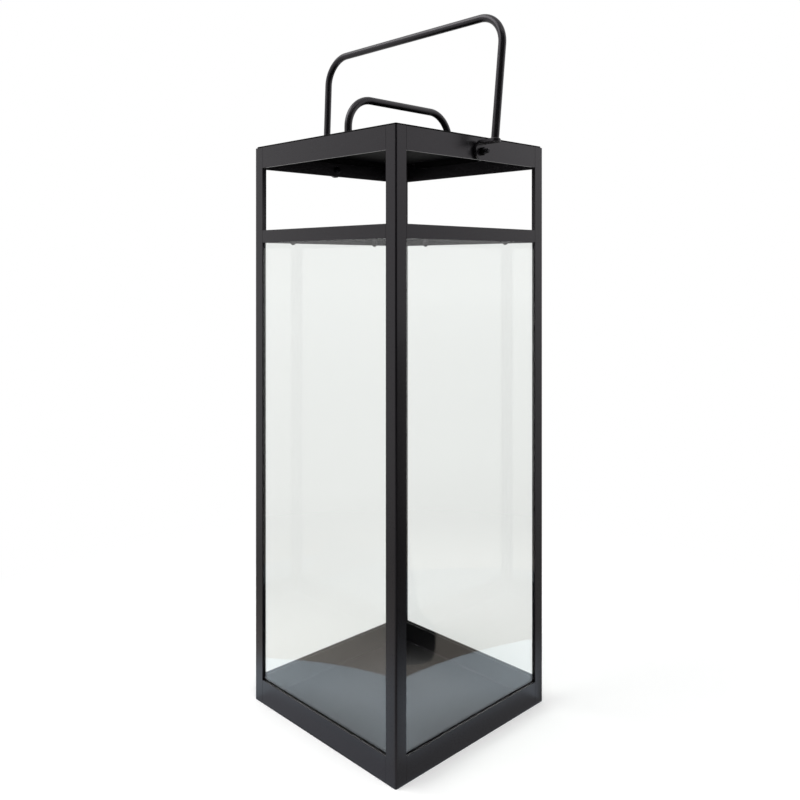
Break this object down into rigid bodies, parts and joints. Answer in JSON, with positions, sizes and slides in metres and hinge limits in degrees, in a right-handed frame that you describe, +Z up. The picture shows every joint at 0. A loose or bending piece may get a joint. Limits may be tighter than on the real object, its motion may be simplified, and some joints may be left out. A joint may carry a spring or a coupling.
{
  "type": "floor lantern",
  "caption": "Tall square candle lantern with a welded flat-bar frame, glass sides, an open vent band, a lift-off lid with a loop handle and a swinging carrying bail.",
  "frame": {"origin": "centre of the footprint, on the ground under the base rails and the floor plate", "axes": "+Z up, +Y towards the back, +X towards the right; the bail turns about an axis along X"},
  "size_m": [0.3122, 0.25, 0.8201],
  "materials": {
    "powder_coated_steel": "satin fine-texture black powder coat on mild steel",
    "clear_glass": "clear float glass, seamed edges",
    "pivot_hardware": "black zinc-plated steel fasteners"
  },
  "bodies": {
    "frame": {"base_rail_back": "powder_coated_steel", "base_rail_front": "powder_coated_steel", "base_rail_left": "powder_coated_steel", "base_rail_right": "powder_coated_steel", "floor_plate": "powder_coated_steel", "glass_clips_back": "powder_coated_steel", "glass_clips_front": "powder_coated_steel", "glass_clips_left": "powder_coated_steel", "glass_clips_right": "powder_coated_steel", "glass_pane_back": "clear_glass", "glass_pane_front": "clear_glass", "glass_pane_left": "clear_glass", "glass_pane_right": "clear_glass", "glass_rail_back": "powder_coated_steel", "glass_rail_front": "powder_coated_steel", "glass_rail_left": "powder_coated_steel", "glass_rail_right": "powder_coated_steel", "pivot_nut_left": "pivot_hardware", "pivot_nut_right": "pivot_hardware", "pivot_screw_left": "pivot_hardware", "pivot_screw_right": "pivot_hardware", "pivot_washer_left": "pivot_hardware", "pivot_washer_right": "pivot_hardware", "post_back_left": "powder_coated_steel", "post_back_right": "powder_coated_steel", "post_front_left": "powder_coated_steel", "post_front_right": "powder_coated_steel", "slot_wall_back": "powder_coated_steel", "slot_wall_front": "powder_coated_steel", "slot_wall_left": "powder_coated_steel", "slot_wall_right": "powder_coated_steel", "top_rail_back": "powder_coated_steel", "top_rail_front": "powder_coated_steel", "top_rail_left": "powder_coated_steel", "top_rail_right": "powder_coated_steel"},
    "lid": {"lid_handle": "powder_coated_steel", "lid_lip_back": "powder_coated_steel", "lid_lip_front": "powder_coated_steel", "lid_lip_left": "powder_coated_steel", "lid_lip_right": "powder_coated_steel", "lid_plate": "powder_coated_steel"},
    "bail": {"bail_lug_left": "powder_coated_steel", "bail_lug_right": "powder_coated_steel", "bail_rod": "powder_coated_steel"}
  },
  "joints": [
    {"name": "bail_swing", "type": "hinge", "parent": "frame", "child": "bail", "pos_m": [0, 0.005, 0.662], "axis": [1, 0, 0], "range_deg": [-119, 120]},
    {"name": "lid_lift", "type": "slide", "parent": "frame", "child": "lid", "axis": [0, 0, 1], "range_m": [0, 0.06]}
  ]
}
